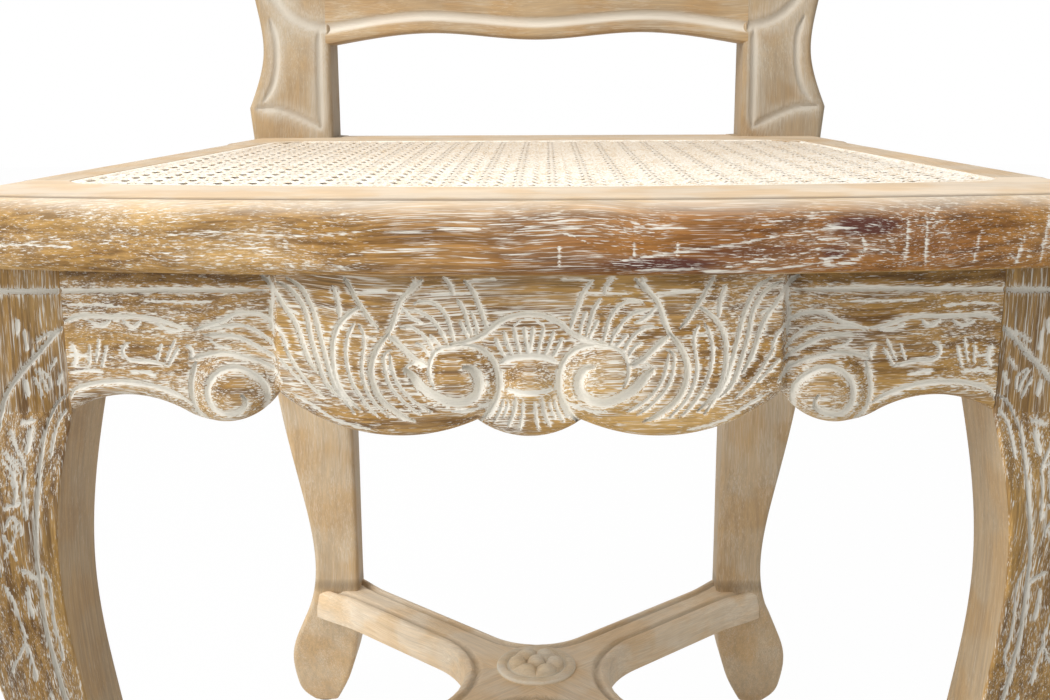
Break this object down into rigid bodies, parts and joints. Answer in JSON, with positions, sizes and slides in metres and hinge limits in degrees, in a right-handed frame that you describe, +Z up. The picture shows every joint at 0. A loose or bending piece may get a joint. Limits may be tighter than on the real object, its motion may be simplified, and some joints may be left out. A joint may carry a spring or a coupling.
{
  "type": "dining chair",
  "caption": "Carved wooden dining chair with cabriole legs, crossed stretcher, shaped aprons, caned seat and caned back.",
  "frame": {"origin": "on the floor, under the middle of the chair's box", "axes": "+Z up, +Y from the front of the seat to the back, +X to the right of a viewer in front of the chair"},
  "size_m": [0.4968, 0.5569, 1.015],
  "materials": {
    "limed_wood": "carved, white lime paste in pores and grooves",
    "rattan_cane": "woven, bleached",
    "rattan_spline": "plain reed",
    "block_wood": "sawn",
    "beech_dowel": "turned",
    "steel_screw": "zinc plated",
    "glide_plastic": "moulded"
  },
  "bodies": {
    "root": {"back_cane": "rattan_cane", "back_spline": "rattan_spline", "corner_block_front_left": "block_wood", "corner_block_front_right": "block_wood", "corner_block_rear_left": "block_wood", "corner_block_rear_right": "block_wood", "crest_dowels": "beech_dowel", "crest_rail": "limed_wood", "foot_glide_front_left": "glide_plastic", "foot_glide_front_right": "glide_plastic", "foot_glide_rear_left": "glide_plastic", "foot_glide_rear_right": "glide_plastic", "front_apron": "limed_wood", "front_leg_left": "limed_wood", "front_leg_right": "limed_wood", "leg_screws": "steel_screw", "lower_back_rail": "limed_wood", "rear_apron": "limed_wood", "rear_post_left": "limed_wood", "rear_post_right": "limed_wood", "rosette_screw": "steel_screw", "seat_cane": "rattan_cane", "seat_dowels": "beech_dowel", "seat_front_rail": "limed_wood", "seat_left_rail": "limed_wood", "seat_rear_rail": "limed_wood", "seat_right_rail": "limed_wood", "seat_screws": "steel_screw", "seat_spline": "rattan_spline", "side_apron_left": "limed_wood", "side_apron_right": "limed_wood", "stretcher_bar_left": "limed_wood", "stretcher_bar_right": "limed_wood", "stretcher_dowels": "beech_dowel", "stretcher_rosette": "limed_wood"}
  },
  "joints": []
}
